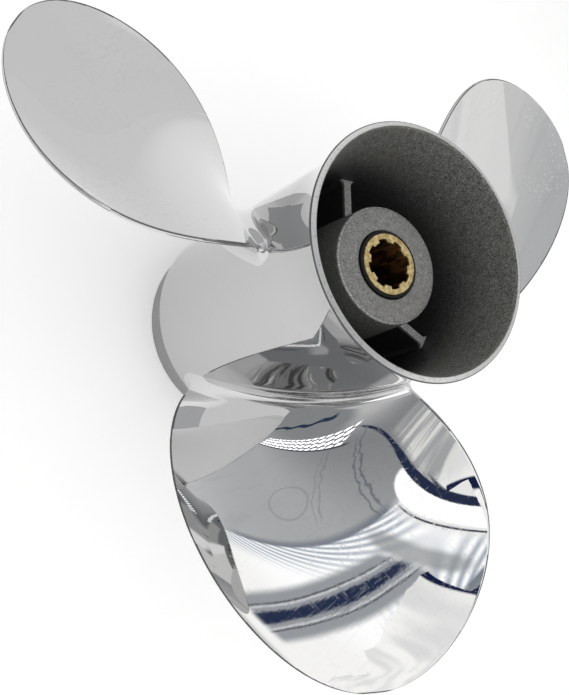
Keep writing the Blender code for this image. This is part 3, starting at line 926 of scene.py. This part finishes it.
def add_lamps(shade, x, y, colour):
    """The row of small lamps, three deep and staggered, with a dark trim and a wavy cord beside it."""
    row = shade.plane(x, y, 0.335, 0.942, 0.558)
    run = shade.plane(x, y, 0.942, -0.335, 0.0)
    lamps = shade.product(shade.band(row, 0.036, 0.003), shade.window(run, -0.72, -0.69, -0.15, -0.13))
    cell = shade.product(shade.math("SINE", shade.plane(run, row, 87.0, 63.0, 0.0)),
                         shade.math("SINE", shade.product(row, 131.0)))
    dots = shade.step(shade.math("ABSOLUTE", cell), 0.30, 0.55)
    colour = shade.mix(lamps, colour, shade.mix(dots, LAMP_HOUSING, LAMP_WHITE))
    trim = shade.product(shade.band(shade.minus(row, 0.043), 0.0035, 0.002),
                         shade.window(run, -0.72, -0.69, -0.12, -0.10))
    colour = shade.mix(trim, colour, TRIM_GREY)
    wavy = shade.scaled(shade.math("SINE", shade.product(run, 40.0)), 0.008, row)
    cord = shade.product(shade.band(shade.plus(wavy, 0.175), 0.013, 0.004),
                         shade.window(run, -0.96, -0.90, -0.34, -0.28))
    return shade.mix(cord, colour, CORD_BLUE)


def make_ceiling():
    """The tent's top: grey cloth, a bright panel, a row of small lamps and two dark battens.

    The functions that paint it give places in metres, x and y from the part's shaft.
    """
    material, shade, glow = new_glow("tent_top")
    x, y = shade.place_along("X"), shade.place_along("Y")
    wobble = shade.product(shade.minus(shade.noise((30.0, 30.0, 1.0)), 0.5), 0.03)
    colour = ceiling_cloth(shade, x, y, wobble)
    colour = add_ceiling_lights(shade, x, y, colour)
    colour = add_panel(shade, x, y, colour)
    colour = add_rail(shade, x, y, wobble, colour)
    shade.feed(glow, add_lamps(shade, x, y, colour))
    show_in_metal_only(add_stage("tent_top", *square(CEILING_SIZE), material, CEILING_HEIGHT))


def make_grey_card():
    """A bent grey card beside the part, flat on the floor and then upright, for the barrel's upper side."""
    material, _, glow = new_glow("grey_card")
    glow.default_value = (0.49, 0.495, 0.50, 1.0)
    near, far, upright = 0.15, 0.55, 0.24
    foot = FLOOR_Z + 0.002
    points, faces = fan(((near, foot), (far, foot), (far, foot + upright)), 125.0, 167.0)
    show_in_metal_only(add_stage("grey_card", points, faces, material))


def make_pale_card():
    """A pale card flat on the floor behind the part, for the far blade: a near fan and a far one."""
    material, shade, glow = new_glow("pale_card")
    away = shade.step(shade.way_from_origin(), 0.15, 0.60)
    shade.feed(glow, shade.mix(away, even(0.93), (0.79, 0.79, 0.785)))
    inner, middle, outer = 0.045, 0.15, 3.8
    height = FLOOR_Z + 0.001
    points, faces = fan(((inner, height), (middle, height)), 50.0, 160.0)
    far_points, far_faces = fan(((middle, height), (outer, height)), 80.0, 124.0, first=len(points))
    show_in_metal_only(add_stage("pale_card", points + far_points, faces + far_faces, material))


def make_edge_card():
    """White card with a navy border, close over the lower blade's edge, for that blade's right corner."""
    material, shade, glow = new_glow("edge_card")
    border = shade.plane(shade.place_along("X"), shade.place_along("Y"), -0.901, 0.433, 0.0878)
    clouds = shade.noise((90.0, 60.0, 1.0))
    colour = shade.mix(shade.step(clouds, 0.40, 0.66), (1.33, 1.32, 1.30), even(1.02))
    shade.feed(glow, shade.mix(shade.band(border, 0.0009, 0.0005), colour, (0.012, 0.020, 0.075)))
    points = [(x, y, EDGE_CARD_Z) for x, y in EDGE_CARD_OUTLINE]
    show_in_metal_only(add_stage("edge_card", points, [tuple(range(len(points)))], material))


def make_open_side():
    """The room beyond the tent's open side, grey with dark and light shapes, standing towards -Y."""
    material, shade, glow = new_glow("open_side")
    x = shade.place_along("X")
    shapes = shade.noise((8.0, 1.0, 1.6), detail=3.0, roughness=0.55, distortion=1.4)
    dark_shapes = shade.product(shade.step(shapes, 0.52, 0.58), 0.9)
    room = shade.mix(dark_shapes, (0.34, 0.345, 0.35), (0.07, 0.065, 0.06))
    room = shade.mix(shade.step(shapes, 0.41, 0.37), room, (0.95, 0.94, 0.90))
    cloth = shade.mix(shade.step(x, 0.50, 1.26), even(0.77), (0.98, 0.98, 0.97))
    middle = shade.step(shade.math("ABSOLUTE", x), 1.9, 1.0)
    shade.feed(glow, shade.mix(middle, cloth, room))
    side, top = OPEN_SIDE_WIDTH / 2, OPEN_SIDE_TOP
    outline = ((-side, FLOOR_Z), (side, FLOOR_Z), (side, top), (-side, top))
    corners = [(along, OPEN_SIDE_Y, up) for along, up in outline]
    show_in_metal_only(add_stage("open_side", corners, [(0, 1, 2, 3)], material))


def make_world():
    """The tent's sides: pale cloth, lighter towards +X."""
    world = bpy.data.worlds.new("studio")
    world.use_nodes = True
    shade = Shade(world.node_tree)
    way = shade.node("ShaderNodeTexCoord", {}, {}).outputs["Generated"]
    x = shade.node("ShaderNodeSeparateXYZ", {}, {0: way}).outputs["X"]
    background = world.node_tree.nodes["Background"]
    cloth = shade.mix(shade.step(x, 0.30, 0.62), even(0.77), (0.97, 0.97, 0.96))
    shade.feed(background.inputs["Color"], cloth)
    background.inputs["Strength"].default_value = 1.0
    bpy.context.scene.world = world


make_camera()
make_floor()
make_ceiling()
make_grey_card()
make_pale_card()
make_edge_card()
make_open_side()
make_world()
bpy.context.scene.view_settings.view_transform = "Standard"

BLADE_POLISH = polished_steel("blade_polish", light=0.68, haze=0.003)
# Painted shade: the barrel's polish is darker than the blades' (light 0.555 against 0.68)
BARREL_POLISH_SHADED = polished_steel("barrel_polish_shaded", light=0.555, haze=0.03)
BORE_SKIN = cast_steel("bore_skin", dark=(0.065, 0.072, 0.066), light=(0.27, 0.275, 0.26),
                       warm=(0.20, 0.178, 0.15), stained=0.35, depth=0.00008,
                       shade_start=0.008, shade_end=0.040, shaded_share=0.87)
# Painted light: the inner hub's casting skin is lighter than the bore's
HUB_SKIN_LIT = cast_steel("hub_skin_lit", dark=(0.17, 0.17, 0.165), light=(0.33, 0.33, 0.32), warm=(0.22, 0.21, 0.19),
                      stained=0.35, depth=0.00004, shade_start=0.025, shade_end=0.06, shaded_share=0.3)
# Painted light: the ribs' casting skin is much lighter than the bore's
RIB_SKIN_LIT = cast_steel("rib_skin_lit", dark=(0.42, 0.42, 0.41), light=(0.78, 0.78, 0.77), warm=(0.55, 0.53, 0.50),
                      stained=0.3, depth=0.00005, shade_start=RIB_AFT_DEPTH + 0.0001,
                      shade_end=RIB_AFT_DEPTH + 0.0016, shaded_share=0.93)
# Dark outline painted along the edges of the blades and the rim
DARK_OUTLINE_PAINT = painted_dark_outline()
make_barrel(BARREL_POLISH_SHADED, BORE_SKIN, satin_lip(), DARK_OUTLINE_PAINT)
make_blades(BLADE_POLISH, DARK_OUTLINE_PAINT)
make_spigot(turned_steel())
make_inner_hub(HUB_SKIN_LIT, painted_corner_highlight())
make_ribs(RIB_SKIN_LIT)
make_bush(bush_rubber())
make_insert(brass())
